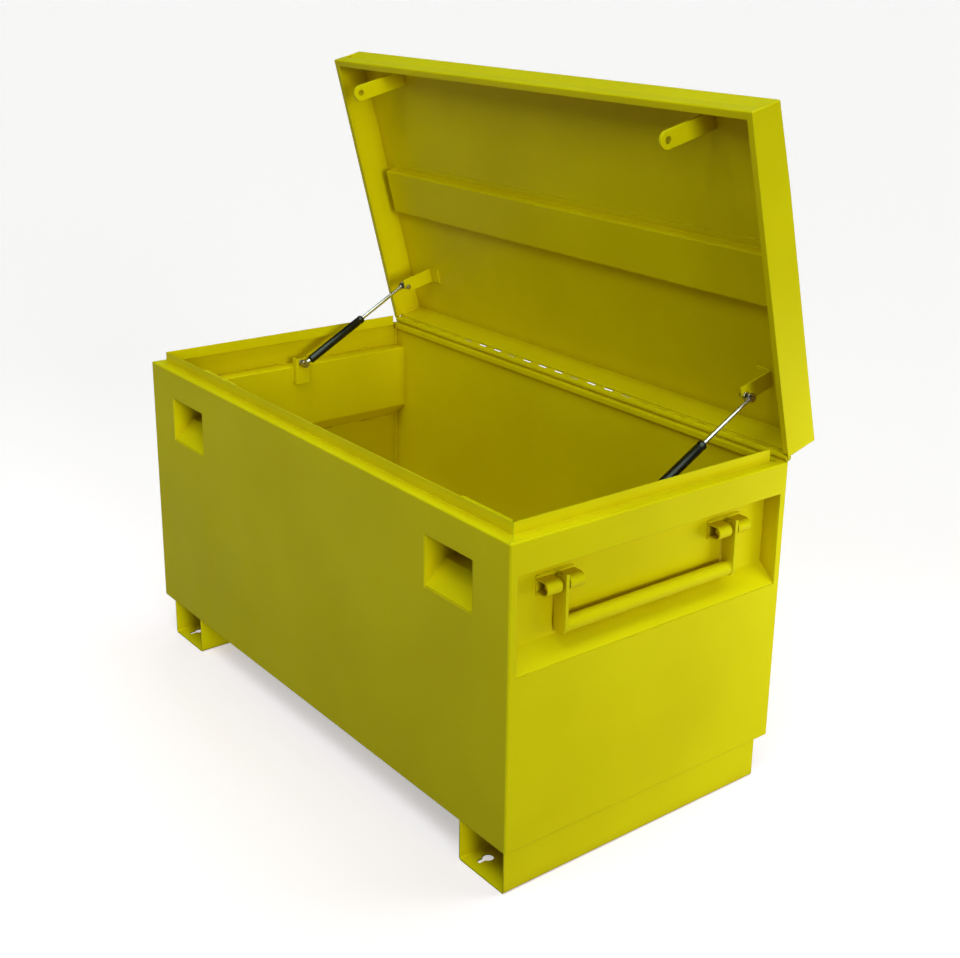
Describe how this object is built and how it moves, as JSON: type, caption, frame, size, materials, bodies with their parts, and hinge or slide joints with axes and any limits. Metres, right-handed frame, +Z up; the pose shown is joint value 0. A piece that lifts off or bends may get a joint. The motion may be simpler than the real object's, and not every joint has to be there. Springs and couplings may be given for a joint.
{
  "type": "jobsite storage chest",
  "caption": "Steel storage chest on skids with an open lid on gas springs, latch bars, lock pockets and recessed drop handles.",
  "frame": {"origin": "plan centre of the box body, at ground level", "axes": "+X along the box towards the end with the skid flush with the body, +Y from the lock-pocket side towards the hinge, +Z up"},
  "size_m": [1.22, 0.6872, 1.2372],
  "materials": {
    "yellow_enamel": "bright yellow baked enamel, satin gloss",
    "black_enamel": "black enamelled spring tube",
    "polished_rod": "hard chromed and polished",
    "zinc_plated_steel": "bright zinc plate"
  },
  "bodies": {
    "box": {"front_panel": "yellow_enamel", "back_panel": "yellow_enamel", "left_end_panel": "yellow_enamel", "right_end_panel": "yellow_enamel", "floor_tray": "yellow_enamel", "left_handle_pan": "yellow_enamel", "right_handle_pan": "yellow_enamel", "left_lock_pocket": "yellow_enamel", "right_lock_pocket": "yellow_enamel", "left_skid": "yellow_enamel", "right_skid": "yellow_enamel", "body_hinge_leaf": "yellow_enamel", "hinge_pin": "zinc_plated_steel", "left_front_saddle": "yellow_enamel", "left_front_pivot_pin": "yellow_enamel", "left_rear_saddle": "yellow_enamel", "left_rear_pivot_pin": "yellow_enamel", "left_body_bracket": "yellow_enamel", "left_lower_ball_stud": "zinc_plated_steel", "left_lower_stud_nut": "zinc_plated_steel", "right_front_saddle": "yellow_enamel", "right_front_pivot_pin": "yellow_enamel", "right_rear_saddle": "yellow_enamel", "right_rear_pivot_pin": "yellow_enamel", "right_body_bracket": "yellow_enamel", "right_lower_ball_stud": "zinc_plated_steel", "right_lower_stud_nut": "zinc_plated_steel"},
    "lid": {"lid_shell": "yellow_enamel", "lid_stiffener": "yellow_enamel", "left_latch_bar": "yellow_enamel", "right_latch_bar": "yellow_enamel", "lid_hinge_leaf": "yellow_enamel", "left_lid_bracket": "yellow_enamel", "right_lid_bracket": "yellow_enamel", "left_upper_stud_nut": "zinc_plated_steel", "right_upper_stud_nut": "zinc_plated_steel"},
    "left_spring_cylinder": {"left_spring_tube": "black_enamel", "left_spring_gland": "black_enamel", "left_lower_socket": "zinc_plated_steel"},
    "left_spring_rod_end": {"left_spring_rod": "polished_rod", "left_upper_socket": "zinc_plated_steel", "left_upper_ball_stud": "zinc_plated_steel"},
    "left_handle": {"left_front_handle_arm": "yellow_enamel", "left_rear_handle_arm": "yellow_enamel", "left_handle_grip": "yellow_enamel"},
    "right_spring_cylinder": {"right_spring_tube": "black_enamel", "right_spring_gland": "black_enamel", "right_lower_socket": "zinc_plated_steel"},
    "right_spring_rod_end": {"right_spring_rod": "polished_rod", "right_upper_socket": "zinc_plated_steel", "right_upper_ball_stud": "zinc_plated_steel"},
    "right_handle": {"right_front_handle_arm": "yellow_enamel", "right_rear_handle_arm": "yellow_enamel", "right_handle_grip": "yellow_enamel"}
  },
  "joints": [
    {"name": "lid_hinge", "type": "hinge", "parent": "box", "child": "lid", "pos_m": [0, 0.314, 0.618], "axis": [1, 0, 0], "range_deg": [0, 75.5], "stiffness_Nm_per_rad": 12, "springref_deg": -85.94},
    {"name": "left_spring_pivot", "type": "hinge", "parent": "box", "child": "left_spring_cylinder", "pos_m": [-0.537, 0.0175, 0.5702], "axis": [1, 0, 0], "range_deg": [-17.74, 1]},
    {"name": "left_spring_slide", "type": "slide", "parent": "left_spring_cylinder", "child": "left_spring_rod_end", "axis": [0, 0.875, 0.4841], "range_m": [-0.1061, 0.001]},
    {"name": "left_handle_pivot", "type": "hinge", "parent": "box", "child": "left_handle", "pos_m": [-0.592, 0, 0.5105], "axis": [0, 1, 0], "range_deg": [0, 70]},
    {"name": "right_spring_pivot", "type": "hinge", "parent": "box", "child": "right_spring_cylinder", "pos_m": [0.537, 0.0175, 0.5702], "axis": [1, 0, 0], "range_deg": [-17.74, 1]},
    {"name": "right_spring_slide", "type": "slide", "parent": "right_spring_cylinder", "child": "right_spring_rod_end", "axis": [0, 0.875, 0.4841], "range_m": [-0.1061, 0.001]},
    {"name": "right_handle_pivot", "type": "hinge", "parent": "box", "child": "right_handle", "pos_m": [0.592, 0, 0.5105], "axis": [0, -1, 0], "range_deg": [0, 70]}
  ],
  "couplings": [
    {"joint": "left_spring_pivot", "follows": "lid_hinge", "ratio": -0.22166},
    {"joint": "left_spring_slide", "follows": "lid_hinge", "m_per_rad": -0.079781},
    {"joint": "right_spring_pivot", "follows": "lid_hinge", "ratio": -0.22166},
    {"joint": "right_spring_slide", "follows": "lid_hinge", "m_per_rad": -0.079781}
  ]
}
